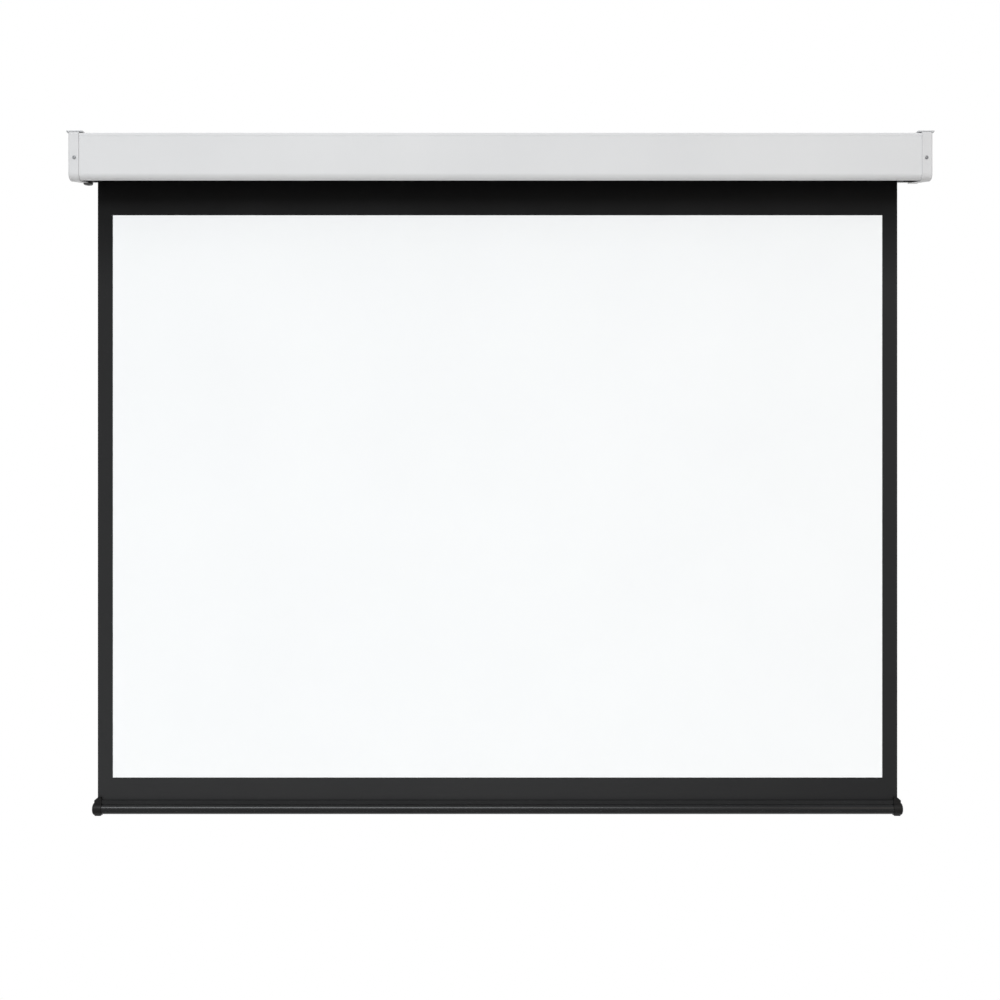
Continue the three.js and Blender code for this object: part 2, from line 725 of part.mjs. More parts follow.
// Cable gland in the left plate's lower flange: body, lock nut and clamping cap
const glandUnder = plateBottom - seat;
const glandFoot = glandUnder - glandFlangeHeight;
const glandNutBottom = plateBottom + plateThickness + seat;
const glandThreadTop = glandNutBottom + glandThreadHeight;
add(screen, 'cable_gland', turned('z', [
  [glandFoot, glandBoreRadius],
  [glandFoot, glandRadius],
  [glandUnder, glandRadius],
  [glandUnder, glandThreadRadius],
  [glandThreadTop, glandThreadRadius],
  [glandThreadTop, glandBoreRadius],
  [glandFoot, glandBoreRadius],
], glandAt), 'blackPlastic');
const glandCapTop = glandFoot - seat;
const glandCapBottom = glandCapTop - glandCapHeight;
add(screen, 'gland_cap', turned('z', [
  [glandCapBottom, glandBoreRadius],
  [glandCapBottom, glandCapRadius - glandChamfer],
  [glandCapBottom + glandChamfer, glandCapRadius],
  [glandCapTop, glandCapRadius],
  [glandCapTop, glandBoreRadius],
  [glandCapBottom, glandBoreRadius],
], glandAt), 'blackPlastic');
add(screen, 'gland_nut',
  prism('z', ring(glandRadius + seat, 6), glandNutBottom, glandNutBottom + nutHeight,
    [ring(glandThreadRadius + seat, smallSides)]).translate(glandAt), 'blackPlastic');

// Terminal block on the left plate, its screw, and the two leads that meet in it
const blockLeft = -plateInner + seat;
const blockRight = blockLeft + blockWidth;
const blockFront = -blockBack - blockDepth;
const blockBottom = blockTop - blockHeight;
add(screen, 'terminal_block',
  block(blockLeft, blockRight, blockFront, -blockBack, blockBottom, blockTop).subtract(blockScrewHole),
  'greyPlastic');
add(screen, 'terminal_screw', turned('x', [
  [-plateOuter, 0],
  [-plateOuter, blockScrewRadius],
  [blockRight + seat, blockScrewRadius],
  [blockRight + seat, blockScrewHeadRadius],
  [blockRight + seat + blockScrewHeadHeight, blockScrewHeadRadius],
  [blockRight + seat + blockScrewHeadHeight, 0],
], [0, blockMiddleY, blockMiddleZ]), 'zincSteel');
const leadStart = -rollerDepth + headRadius - leadRadius;
const leadDown = blockMiddleY;
const motorLead = new THREE.CatmullRomCurve3([
  new THREE.Vector3(leadX, leadStart, rollerHeight),
  new THREE.Vector3(leadX, leadDown - leadBend, rollerHeight),
  new THREE.Vector3(leadX, leadDown - leadBend * (1 - Math.SQRT1_2),
    rollerHeight - leadBend * (1 - Math.SQRT1_2)),
  new THREE.Vector3(leadX, leadDown, rollerHeight - leadBend),
  new THREE.Vector3(leadX, leadDown, blockTop + seat),
]);
add(screen, 'motor_lead', tubeAlong(motorLead, leadRadius, leadSteps, leadSides), 'blackPlastic');
const inletBottom = glandThreadTop + seat;
const inletTop = blockBottom - seat;
const inletRise = inletTop - inletBottom;
const inletLead = new THREE.CubicBezierCurve3(
  new THREE.Vector3(glandX, -glandDepth, inletBottom),
  new THREE.Vector3(glandX, -glandDepth, inletBottom + inletRise / 2),
  new THREE.Vector3(leadX, leadDown, inletTop - inletRise / 2),
  new THREE.Vector3(leadX, leadDown, inletTop),
);
add(screen, 'inlet_lead', tubeAlong(inletLead, leadRadius, leadSteps, leadSides), 'blackPlastic');

// Hanging sheet: the black backing from the roller to the hem, and the white film in front
add(screen, 'screen_backing',
  block(sheetLeft, sheetRight, backingFront, backingBack, barTop - hemDrop, rollerHeight), 'blackSheet');
add(screen, 'viewing_surface',
  block(sheetLeft + sideBorder, sheetRight - sideBorder, filmFront, filmFront + filmThickness,
    viewBottom, viewTop), 'whiteFilm');

// Bottom bar: a round-bottomed section with a neck, a hem channel and a hollow chamber
const barCentre = -barHeight + barRadius;
const barHalf = sheetWidth / 2 + barOverhang;
function barOutline(grow, rise) {
  const radius = barRadius + grow;
  const neck = barNeckWidth / 2 + grow;
  const open = Math.acos(neck / radius);
  return [
    [-neck, rise],
    ...arc(0, barCentre, radius, Math.PI - open, 2 * Math.PI + open, smallSides),
    [neck, rise],
  ];
}
const slotHalf = barSlotWidth / 2;
const channelMouth = Math.asin(slotHalf / hemChannelRadius);
const barSection = [
  ...barOutline(0, 0),
  [slotHalf, 0],
  ...arc(0, -hemChannelDrop, hemChannelRadius, Math.PI / 2 - channelMouth,
    -Math.PI * 3 / 2 + channelMouth, smallSides),
  [-slotHalf, 0],
];
const chamberRadius = barRadius - barWall;
const chamberTop = -hemChannelDrop - hemChannelRadius - barWall;
const chamberAngle = Math.asin((chamberTop - barCentre) / chamberRadius);
const chamber = arc(0, barCentre, chamberRadius, chamberAngle, -Math.PI - chamberAngle, smallSides);
const barEnd = barHalf - barCapEnd - seat;
add(bar, 'bottom_bar', prism('x', barSection, -barEnd, barEnd, [chamber]), 'blackBar');
add(bar, 'hem_rod', rod('x', -barEnd, barEnd, hemRodRadius, [0, 0, -hemChannelDrop]), 'zincSteel');

// Bar caps: a cup over the bar's end, with a sloping fin at the sheet's edge and a foot below
const barFootBottom = -barHeight - barFootDrop;
function barCap(side) {
  const inner = barHalf - barCapLength;
  const cup = prism('x', barOutline(seat + barCapWall, barCapFin), side * inner, side * barHalf);
  const foot = block(side * (barHalf - barFootInset - barFootLength), side * (barHalf - barFootInset),
    -barFootWidth / 2, barFootWidth / 2, barFootBottom, -barHeight);
  const silhouette = prism('y', [
    [barCapFin, inner - overrun],
    [barCapFin, barHalf - barCapShoulder],
    [0, barHalf - barCapNeckInset],
    [-barCapNeckDrop, barHalf - barCapNeckInset],
    [-barCapBodyDrop, barHalf],
    [-barHeight + barCapCorner, barHalf],
    [-barHeight - seat - barCapWall, barHalf - barFootInset],
    [barFootBottom - overrun, barHalf - barFootInset],
    [barFootBottom - overrun, inner - overrun],
  ].map(([z, x]) => [z, side * x]), -barRadius - overrun, barRadius + overrun);
  const hollow = prism('x', barOutline(seat, seat), side * (inner - overrun), side * (barEnd + seat));
  const sheetSlot = block(side * (inner - overrun), side * (sheetWidth / 2 + seat + seat),
    -slotHalf, slotHalf, 0, barCapFin + overrun);
  return cup.add(foot).intersect(silhouette).subtract(hollow).subtract(sheetSlot);
}
add(bar, 'bar_cap_left', barCap(-1), 'blackPlastic');
add(bar, 'bar_cap_right', barCap(1), 'blackPlastic');

export default screen;
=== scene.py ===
import math
import bmesh
import bpy
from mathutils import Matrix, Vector


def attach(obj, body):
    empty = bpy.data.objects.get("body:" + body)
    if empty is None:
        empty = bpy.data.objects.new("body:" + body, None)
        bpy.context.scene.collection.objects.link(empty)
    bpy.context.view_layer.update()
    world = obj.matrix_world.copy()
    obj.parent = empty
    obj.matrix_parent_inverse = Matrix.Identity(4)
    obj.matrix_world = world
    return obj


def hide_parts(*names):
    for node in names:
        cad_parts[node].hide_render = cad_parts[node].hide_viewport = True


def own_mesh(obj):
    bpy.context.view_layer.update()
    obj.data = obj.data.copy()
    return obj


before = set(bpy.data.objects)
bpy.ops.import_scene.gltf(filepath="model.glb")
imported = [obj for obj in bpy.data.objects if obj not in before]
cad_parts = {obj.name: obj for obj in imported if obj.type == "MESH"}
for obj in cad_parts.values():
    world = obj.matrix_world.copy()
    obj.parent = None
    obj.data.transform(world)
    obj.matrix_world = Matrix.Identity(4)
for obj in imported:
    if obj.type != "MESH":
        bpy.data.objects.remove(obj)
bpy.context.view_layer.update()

tones = bpy.context.scene.view_settings
tones.view_transform = "Standard"

# Camera and studio. The screen is seen square on, from a little above the middle of the sheet and
# 3.5 m in front of it. A soft cool lamp hangs behind the camera on the left and a weak warm one stands
# on the right. The room is pale, lighter above and behind, over a floor that the screen doesn't reach.
film_front = -0.0294
camera_aside = -0.001
camera_distance = 3.5
camera_height = -0.886
camera_lens = 47.7
facing = (math.pi / 2, 0, 0)
bpy.ops.object.camera_add(
    location=(camera_aside, film_front - camera_distance, camera_height), rotation=facing)
camera = bpy.context.object
camera.data.lens = camera_lens
bpy.context.scene.camera = camera

lit_point = Vector((0, 0, -0.7))
for lamp_name, lamp_place, lamp_size, lamp_power, lamp_tint in (
        ("high_lamp", (-2.7, -12.3, 7.2), (9, 4.6), 1298, (0.95, 0.98, 1)),
        ("side_lamp", (3.4, -5.2, 1.0), (2.6, 2.6), 29, (1, 0.87, 0.74))):
    aim = lit_point - Vector(lamp_place)
    bpy.ops.object.light_add(
        type="AREA", location=lamp_place, rotation=aim.to_track_quat("-Z", "Y").to_euler())
    lamp = bpy.context.object
    lamp.name = lamp_name
    lamp.data.shape = "RECTANGLE"
    lamp.data.size, lamp.data.size_y = lamp_size
    lamp.data.energy = lamp_power
    lamp.data.color = lamp_tint

room_slope = (0, 0.3, 0.22)
room_mean = 0.51
room = bpy.data.worlds.new("room")
bpy.context.scene.world = room
room.use_nodes = True
room_nodes = room.node_tree.nodes
room_links = room.node_tree.links
room_nodes.clear()
room_rays = room_nodes.new("ShaderNodeLightPath")
room_light = room_nodes.new("ShaderNodeBackground")
room_light.inputs["Color"].default_value = (1, 1, 1, 1)
room_way = room_nodes.new("ShaderNodeTexCoord")
room_lean = room_nodes.new("ShaderNodeVectorMath")
room_lean.operation = "DOT_PRODUCT"
room_lean.inputs[1].default_value = room_slope
room_level = room_nodes.new("ShaderNodeMath")
room_level.inputs[1].default_value = room_mean
room_links.new(room_way.outputs["Generated"], room_lean.inputs[0])
room_links.new(room_lean.outputs["Value"], room_level.inputs[0])
room_links.new(room_level.outputs[0], room_light.inputs["Strength"])
room_white = room_nodes.new("ShaderNodeBackground")
room_white.inputs["Color"].default_value = (1, 1, 1, 1)
room_white.inputs["Strength"].default_value = 1
room_seen = room_nodes.new("ShaderNodeMath")
room_mirrored = room_nodes.new("ShaderNodeMath")
room_mirrored.use_clamp = True
room_mix = room_nodes.new("ShaderNodeMixShader")
room_links.new(room_rays.outputs["Is Camera Ray"], room_seen.inputs[0])
room_links.new(room_rays.outputs["Is Glossy Ray"], room_seen.inputs[1])
room_links.new(room_seen.outputs[0], room_mirrored.inputs[0])
room_links.new(room_rays.outputs["Is Transmission Ray"], room_mirrored.inputs[1])
room_links.new(room_mirrored.outputs[0], room_mix.inputs["Fac"])
room_links.new(room_light.outputs[0], room_mix.inputs[1])
room_links.new(room_white.outputs[0], room_mix.inputs[2])
room_out = room_nodes.new("ShaderNodeOutputWorld")
room_links.new(room_mix.outputs[0], room_out.inputs["Surface"])


def tinted(name, colour, drift, roughness, spread, grain, depth,
           metallic=0.0, specular=0.5, stretch=(1, 1, 1), patch=7.0):
    """A finish whose colour and roughness drift softly over the piece, under a fine grain"""
    material = bpy.data.materials.new(name)
    material.use_nodes = True
    nodes = material.node_tree.nodes
    links = material.node_tree.links
    shader = nodes["Principled BSDF"]
    shader.inputs["Metallic"].default_value = metallic
    shader.inputs["Specular IOR Level"].default_value = specular
    place = nodes.new("ShaderNodeTexCoord")
    turn = nodes.new("ShaderNodeMapping")
    turn.inputs["Scale"].default_value = stretch
    links.new(place.outputs["Object"], turn.inputs["Vector"])
    cloud = nodes.new("ShaderNodeTexNoise")
    cloud.inputs["Scale"].default_value = patch
    cloud.inputs["Detail"].default_value = 5
    links.new(turn.outputs[0], cloud.inputs["Vector"])
    shade = nodes.new("ShaderNodeValToRGB")
    shade.color_ramp.elements[0].position = 0.3
    shade.color_ramp.elements[1].position = 0.7
    shade.color_ramp.elements[0].color = (*colour, 1)
    shade.color_ramp.elements[1].color = (*drift, 1)
    links.new(cloud.outputs["Fac"], shade.inputs["Fac"])
    links.new(shade.outputs["Color"], shader.inputs["Base Color"])
    wear = nodes.new("ShaderNodeMapRange")
    wear.inputs["From Min"].default_value = 0.3
    wear.inputs["From Max"].default_value = 0.7
    wear.inputs["To Min"].default_value = roughness - spread
    wear.inputs["To Max"].default_value = roughness + spread
    links.new(cloud.outputs["Fac"], wear.inputs["Value"])
    links.new(wear.outputs["Result"], shader.inputs["Roughness"])
    fine = nodes.new("ShaderNodeTexNoise")
    fine.inputs["Scale"].default_value = grain
    fine.inputs["Detail"].default_value = 3
    links.new(turn.outputs[0], fine.inputs["Vector"])
    bump = nodes.new("ShaderNodeBump")
    bump.inputs["Strength"].default_value = 0.6
    bump.inputs["Distance"].default_value = depth
    links.new(fine.outputs["Fac"], bump.inputs["Height"])
    links.new(bump.outputs["Normal"], shader.inputs["Normal"])
    return material


def begin(name, primitive, **options):
    """A new primitive, alone in the selection, named and ready to be shaped"""
    bpy.ops.object.select_all(action="DESELECT")
    primitive(**options)
    bpy.context.object.name = name
    return bpy.context.object


def alone(piece):
    """Makes a piece the only one selected, and the active one"""
    bpy.ops.object.select_all(action="DESELECT")
    bpy.context.view_layer.objects.active = piece
    piece.select_set(True)


def settle(piece, material=None):
    """The piece at the origin with its place in its mesh, and dressed"""
    alone(piece)
    bpy.ops.object.transform_apply(location=True, rotation=True, scale=True)
    if material:
        piece.data.materials.clear()
        piece.data.materials.append(material)
    return piece


floor_paint = tinted("floor_paint", (0.78, 0.78, 0.77), (0.81, 0.81, 0.8), 0.7, 0.1, 60, 0.0004)
floor_middle = (0, -2.4, -2.35)
floor_spread = (9, 4.7, 1)
studio_floor = begin("studio_floor", bpy.ops.mesh.primitive_plane_add, size=1,
                     location=floor_middle)
studio_floor.scale = floor_spread
settle(studio_floor, floor_paint)


def shape(piece):
    """Opens a piece for modelling, with nothing selected"""
    alone(piece)
    bpy.ops.object.mode_set(mode="EDIT")
    bpy.ops.mesh.select_all(action="DESELECT")


def pick(kind, test):
    """Selects what passes a test of its middle, and of its normal or, for an edge, its direction"""
    bpy.ops.mesh.select_mode(type=kind)
    bpy.ops.mesh.select_all(action="DESELECT")
    data = bpy.context.object.data
    mesh = bmesh.from_edit_mesh(data)
    for item in {"VERT": mesh.verts, "EDGE": mesh.edges, "FACE": mesh.faces}[kind]:
        if kind == "VERT":
            middle, way = item.co, item.normal
        elif kind == "EDGE":
            first, last = (corner.co for corner in item.verts)
            middle, way = (first + last) / 2, (last - first).normalized()
        else:
            middle, way = item.calc_center_median(), item.normal
        item.select_set(bool(test(middle, way)))
    mesh.select_flush_mode()
    bmesh.update_edit_mesh(data)


def near(value, target, slack=1e-4):
    return abs(value - target) < slack


def move(x=0, y=0, z=0):
    bpy.ops.transform.translate(value=(x, y, z))


def push(x=0, y=0, z=0):
    """Extrudes the chosen faces or edges and moves them"""
    bpy.ops.mesh.extrude_region_move(TRANSFORM_OT_translate={"value": (x, y, z)})


def round_off(radius, steps):
    bpy.ops.mesh.bevel(offset=radius, segments=steps, affect="EDGES", clamp_overlap=True)


def round_corners(*corners):
    """Rounds the edges along X, each given by its Y and Z, a radius and a number of steps"""
    for corner_y, corner_z, radius, steps in corners:
        pick("EDGE", lambda middle, way: near(middle.y, corner_y) and near(middle.z, corner_z)
             and near(abs(way.x), 1))
        round_off(radius, steps)


def close(piece):
    bpy.ops.object.mode_set(mode="OBJECT")
    return piece


def tool(piece, kind, **settings):
    """Adds a modifier and applies it"""
    alone(piece)
    modifier = piece.modifiers.new(kind.lower(), kind)
    for key, value in settings.items():
        setattr(modifier, key, value)
    bpy.ops.object.modifier_apply(modifier=modifier.name)


def soften(piece, width, degrees=50):
    """Rounds off every edge that is sharper than an angle"""
    tool(piece, "BEVEL", width=width, segments=2, limit_method="ANGLE",
         angle_limit=math.radians(degrees))


def smooth(piece, degrees=30):
    """Smooth shading in which the large flat faces stay flat up to their edges"""
    alone(piece)
    bpy.ops.object.shade_smooth_by_angle(angle=math.radians(degrees))
    tool(piece, "WEIGHTED_NORMAL", keep_sharp=True)
    return piece


def cut(piece, cutter, way="DIFFERENCE"):
    """Cuts a piece with another, or joins them, and removes the other"""
    settle(cutter)
    tool(piece, "BOOLEAN", object=cutter, operation=way, solver="EXACT")
    bpy.data.objects.remove(cutter)


def box_cutter(low, high):
    middle = [(a + b) / 2 for a, b in zip(low, high)]
    cutter = begin("cutter", bpy.ops.mesh.primitive_cube_add, size=1, location=middle)
    cutter.scale = [b - a for a, b in zip(low, high)]
    return cutter


def round_cutter(middle, radius, length, turn=(0, 0, 0), sides=32):
    return begin("cutter", bpy.ops.mesh.primitive_cylinder_add, vertices=sides, radius=radius,
                 depth=length, location=middle, rotation=turn)


def fixed(piece, body, slot, *nodes):
    """The piece rides on a body and stands for its nodes; its slot is not used"""
    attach(piece, body)
    if nodes:
        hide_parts(*nodes)


# Case: one long section of painted sheet steel, open along its underside. A flat front turns under
# into a short lip, and a bead is rolled in along the top of the front. It hangs on the two end
# plates, which are riveted to its back.
case_half = 1.0929
case_front = -0.12
case_top = 0.06
case_bottom = -0.06
rear_bottom = -0.042
front_lip = 0.017
rear_lip = 0.01
case_steel = 0.0012
bead_top = 0.0515
bead_half = 0.0011
bead_depth = 0.0006
rivet_x = 1.0803
rivet_hole = 0.0035
rivet_levels = (("lower", -0.025), ("upper", 0.025))
case_white = tinted("case_white_paint", (0.685, 0.685, 0.69), (0.665, 0.665, 0.672), 0.54, 0.04,
                    900, 0.00006, patch=3.0)
case = begin("case_cover", bpy.ops.mesh.primitive_plane_add, size=1)
shape(case)
bpy.ops.mesh.select_all(action="SELECT")
bpy.ops.transform.resize(value=(2 * case_half, -case_front, 1))
move(y=case_front / 2, z=case_top)
pick("EDGE", lambda middle, way: near(middle.y, case_front) and near(abs(way.x), 1))
push(z=case_bottom - case_top)
push(y=front_lip)
pick("EDGE", lambda middle, way: near(middle.y, 0) and near(abs(way.x), 1))
push(z=rear_bottom - case_top)
push(y=-rear_lip)
round_corners((case_front, case_top, 0.005, 5), (0, case_top, 0.005, 4),
              (case_front, case_bottom, 0.015, 10), (0, rear_bottom, 0.003, 3))
for level in (bead_top, bead_top - bead_half, bead_top - 2 * bead_half):
    pick("FACE", lambda middle, way: near(middle.y, case_front) and way.y < -0.9)
    bpy.ops.mesh.bisect(plane_co=(0, 0, level), plane_no=(0, 0, 1))
pick("EDGE", lambda middle, way: near(middle.y, case_front) and near(middle.z, bead_top - bead_half))
move(y=bead_depth)
close(case)
tool(case, "SOLIDIFY", thickness=case_steel, offset=-1)
for hole_x in (-rivet_x, rivet_x):
    for _, hole_z in rivet_levels:
        cut(case, round_cutter((hole_x, 0, hole_z), rivet_hole, 10 * case_steel, facing))
soften(case, 0.00025)
smooth(settle(case, case_white), 35)
fixed(case, "case", "case_white", "case_shell")

# End caps: moulded plastic cups pushed over the case's ends. A small screw in front holds each one,
# and the left one is notched below round the cable gland.
cap_outer = 1.112
cap_skirt = 0.027
cap_front = -0.1225
cap_back = 0.0025
cap_top = 0.0625
cap_bottom = -0.0625
cap_wall = 0.0022
cap_rim = 0.0042
cap_step_front = -0.103
cap_step_rear = -0.01
fastener_x = 1.096
screw_height = -0.005
screw_hole = 0.0023
bolt_hole = 0.0028
through = 0.02
gland_x = -1.0888
gland_y = -0.028
cap_plastic = tinted("cap_plastic", (0.655, 0.652, 0.658), (0.635, 0.632, 0.64), 0.5, 0.05,
                     1500, 0.00004, patch=14)


def end_cap(name):
    cap = begin(name, bpy.ops.mesh.primitive_cube_add, size=1)
    shape(cap)
    bpy.ops.mesh.select_all(action="SELECT")
    bpy.ops.transform.resize(value=(cap_skirt, cap_back - cap_front, cap_top - cap_bottom))
    move(x=-cap_outer + cap_skirt / 2, y=(cap_front + cap_back) / 2)
    for place in (cap_step_front, cap_step_rear):
        pick("FACE", lambda middle, way: True)
        bpy.ops.mesh.bisect(plane_co=(0, place, 0), plane_no=(0, 1, 0))
    pick("VERT", lambda middle, way: middle.y > cap_step_rear - 0.001
         and near(middle.z, cap_bottom))
    move(z=rear_bottom - case_bottom)
    pick("FACE", lambda middle, way: way.x > 0.9)
    bpy.ops.mesh.delete(type="FACE")
    round_corners((cap_front, cap_bottom, 0.0175, 10), (cap_front, cap_top, 0.0075, 5),
                  (cap_back, cap_top, 0.0075, 4),
                  (cap_back, cap_bottom + rear_bottom - case_bottom, 0.0055, 4))
    pick("EDGE", lambda middle, way: near(middle.x, -cap_outer) and abs(way.x) < 0.1
         and (not -0.12 < middle.y < -0.0035 or abs(middle.z) > 0.04))
    round_off(cap_rim, 5)
    close(cap)
    tool(cap, "SOLIDIFY", thickness=cap_wall, offset=-1)
    cut(cap, round_cutter((-fastener_x, cap_front, screw_height), screw_hole, through, facing))
    cut(cap, round_cutter((-fastener_x, case_front / 2, cap_top), bolt_hole, through))
    soften(cap, 0.0005)
    return smooth(settle(cap, cap_plastic), 35)


def other_end(piece, name, shift=0):
    """A mirrored copy of a piece for the other end"""
    twin = piece.copy()
    twin.data = piece.data.copy()
    twin.name = name
    bpy.context.scene.collection.objects.link(twin)
    twin.scale = (-1, 1, 1)
    twin.location = (shift, 0, 0)
    settle(twin)
    shape(twin)
    bpy.ops.mesh.select_all(action="SELECT")
    bpy.ops.mesh.normals_make_consistent(inside=False)
    return smooth(close(twin), 35)


left_cap = end_cap("left_end_cap")
right_cap = other_end(left_cap, "right_end_cap")
cut(left_cap, round_cutter((gland_x, gland_y, -0.055), 0.013, 0.029, sides=48))
smooth(left_cap, 35)
fixed(left_cap, "case", "cap_white", "end_cap_left")
fixed(right_cap, "case", "cap_white", "end_cap_right")

# Hangers: folded steel angles, painted like the case. The flat leg lies on the cap and ends in an
# ear beside it; the short leg stands against the wall and has two holes for wall screws.
hanger_outer = 1.119
hanger_inner = 1.076
hanger_under = 0.0628
hanger_thick = 0.003
hanger_peak = 0.0878
hanger_front = -0.118
wall_hole_height = 0.0778
wall_hole_inset = 0.01
wall_hole = 0.0023


def hanger(name):
    angle = begin(name, bpy.ops.mesh.primitive_cube_add, size=1)
    shape(angle)
    bpy.ops.mesh.select_all(action="SELECT")
    bpy.ops.transform.resize(
        value=(hanger_outer - hanger_inner, cap_back - hanger_front, hanger_thick))
    move(x=-(hanger_outer + hanger_inner) / 2, y=(hanger_front + cap_back) / 2,
         z=hanger_under + hanger_thick / 2)
    pick("FACE", lambda middle, way: True)
    bpy.ops.mesh.bisect(plane_co=(0, cap_back - hanger_thick, 0), plane_no=(0, 1, 0))
    pick("FACE", lambda middle, way: way.z > 0.9 and middle.y > cap_back - hanger_thick)
    push(z=hanger_peak - hanger_under - hanger_thick)
    pick("EDGE", lambda middle, way: near(middle.y, cap_back) and near(middle.z, hanger_under))
    round_off(0.0028, 4)
    pick("EDGE", lambda middle, way: near(abs(way.z), 1) and near(middle.y, hanger_front))
    round_off(0.004, 4)
    pick("EDGE", lambda middle, way: near(abs(way.y), 1) and near(middle.z, hanger_peak))
    round_off(0.005, 4)
    close(angle)
    for hole_x in (hanger_inner + wall_hole_inset, hanger_outer - wall_hole_inset):
        cut(angle, round_cutter((-hole_x, cap_back - hanger_thick / 2, wall_hole_height),
                                wall_hole, through, facing))
    cut(angle, round_cutter((-fastener_x, case_front / 2, hanger_under), bolt_hole, through))
    sink = begin("cutter", bpy.ops.mesh.primitive_cone_add, vertices=32, radius1=bolt_hole,
                 radius2=0.0056, depth=0.0028,
                 location=(-fastener_x, case_front / 2, hanger_under + hanger_thick - 0.0011))
    cut(angle, sink)
    soften(angle, 0.0003)
    return smooth(settle(angle, hanger_paint), 35)


hanger_paint = tinted("hanger_paint", (0.62, 0.625, 0.635), (0.58, 0.585, 0.6), 0.4, 0.07,
                      700, 0.00008, patch=30)
left_hanger = hanger("left_hanger")
right_hanger = other_end(left_hanger, "right_hanger")
fixed(left_hanger, "case", "case_white", "hanger_left")
fixed(right_hanger, "case", "case_white", "hanger_right")

# Screws in sight: cross-headed and zinc plated. Pan heads hold the caps to the end plates, and
# sunk bolts hold the hangers down through the caps.
zinc = tinted("zinc_plate", (0.28, 0.285, 0.29), (0.2, 0.205, 0.215), 0.5, 0.08,
              2500, 0.00003, metallic=1.0, patch=160)


def cross_recess(piece, at, reach, width, deep, way):
    """Two crossed slots cut into a head, which faces along way"""
    for turned in (0, 1):
        span = [width, width, width]
        across = [i for i in range(3) if i != way]
        span[across[turned]] = reach
        span[way] = deep
        cut(piece, box_cutter([c - s / 2 for c, s in zip(at, span)],
                              [c + s / 2 for c, s in zip(at, span)]))


def cap_screw(name):
    head_radius, shank_radius, head_height, shank_length = 0.0045, 0.002, 0.0024, 0.0068
    seat = cap_front - 0.0003
    crown = seat - head_height
    screw = begin(name, bpy.ops.mesh.primitive_cylinder_add, vertices=32, radius=head_radius,
                  depth=head_height, rotation=facing,
                  location=(-fastener_x, (seat + crown) / 2, screw_height))
    settle(screw)
    shape(screw)
    pick("EDGE", lambda middle, way: near(middle.y, crown))
    round_off(0.0015, 5)
    pick("FACE", lambda middle, way: way.y > 0.9 and near(middle.y, seat))
    bpy.ops.mesh.inset(thickness=head_radius - shank_radius)
    push(y=shank_length)
    close(screw)
    cross_recess(screw, (-fastener_x, crown, screw_height), 0.0056, 0.0014, 0.0034, 1)
    return smooth(settle(screw, zinc))


def sunk_bolt(name):
    head_radius, shank_radius, head_height, shank_length = 0.0048, 0.0025, 0.0023, 0.0118
    top = hanger_under + hanger_thick - 0.0003
    bolt = begin(name, bpy.ops.mesh.primitive_cone_add, vertices=32, radius1=shank_radius,
                 radius2=head_radius, depth=head_height,
                 location=(-fastener_x, case_front / 2, top - head_height / 2))
    settle(bolt)
    shape(bolt)
    pick("FACE", lambda middle, way: way.z < -0.9)
    push(z=-shank_length)
    close(bolt)
    cross_recess(bolt, (-fastener_x, case_front / 2, top), 0.0054, 0.0012, 0.003, 2)
    return smooth(settle(bolt, zinc))


for end, make, left_name in (("cap_screw", cap_screw, "left_cap_screw"),
                             ("hanger_bolt", sunk_bolt, "left_hanger_bolt")):
    left_one = make(left_name)
    right_one = other_end(left_one, left_name.replace("left", "right"))
    fixed(left_one, "case", "zinc_steel", end + "_left")
    fixed(right_one, "case", "zinc_steel", end + "_right")

# Projection sheet: a matt white film on a black light-proof sheet, which frames it and is its back.
# It hangs from the roller, and its hem is held in the bottom bar. Its black colour is darkened under
# the case by painted shade and lightened towards its foot by a painted sheen.
sheet_left = -1.0635
sheet_right = 1.0485
roller_height = 0.016
backing_front = -0.0288
backing_back = -0.0284
sheet_foot = -1.6875
film_top = -0.134
film_foot = -1.619
film_thick = 0.0003
border = 0.04
black_sheet = tinted("black_sheet_vinyl", (0.93, 0.93, 0.96), (1, 1, 1.02), 0.6, 0.05, 1400,
                     0.00005, specular=0.08, patch=5)
sheet_nodes = black_sheet.node_tree.nodes
sheet_links = black_sheet.node_tree.links
sheet_place = sheet_nodes.new("ShaderNodeTexCoord")
sheet_axes = sheet_nodes.new("ShaderNodeSeparateXYZ")
sheet_links.new(sheet_place.outputs["Object"], sheet_axes.inputs[0])
# Masks for the painted light on the black sheet: the share of its drop from the roller, and how far
# across it lies towards its right end.
painted_light_drop = sheet_nodes.new("ShaderNodeMapRange")
painted_light_drop.inputs["From Min"].default_value = 0
painted_light_drop.inputs["From Max"].default_value = sheet_foot
sheet_links.new(sheet_axes.outputs["Z"], painted_light_drop.inputs["Value"])
painted_sheen_side = sheet_nodes.new("ShaderNodeMapRange")
painted_sheen_side.inputs["From Min"].default_value = 0.1
painted_sheen_side.inputs["From Max"].default_value = sheet_right
sheet_links.new(sheet_axes.outputs["X"], painted_sheen_side.inputs["Value"])


def painted_shade_and_sheen(first, *others):
    """Painted shade and sheen: the sheet's grey at each share of its drop, dark under the case and
    lighter towards the foot
    """
    ramp = sheet_nodes.new("ShaderNodeValToRGB")
    tone = ramp.color_ramp
    tone.elements.remove(tone.elements[1])
    tone.elements[0].position, level = first
    tone.elements[0].color = (level, level, level, 1)
    for share, level in others:
        tone.elements.new(share).color = (level, level, level, 1)
    sheet_links.new(painted_light_drop.outputs["Result"], ramp.inputs["Fac"])
    return ramp.outputs["Color"]


def blended(way, share, one, other):
    """Two colours of the sheet mixed or multiplied"""
    node = sheet_nodes.new("ShaderNodeMix")
    node.data_type = "RGBA"
    node.blend_type = way
    if isinstance(share, float):
        node.inputs["Factor"].default_value = share
    else:
        sheet_links.new(share, node.inputs["Factor"])
    sheet_links.new(one, node.inputs["A"])
    sheet_links.new(other, node.inputs["B"])
    return node.outputs["Result"]
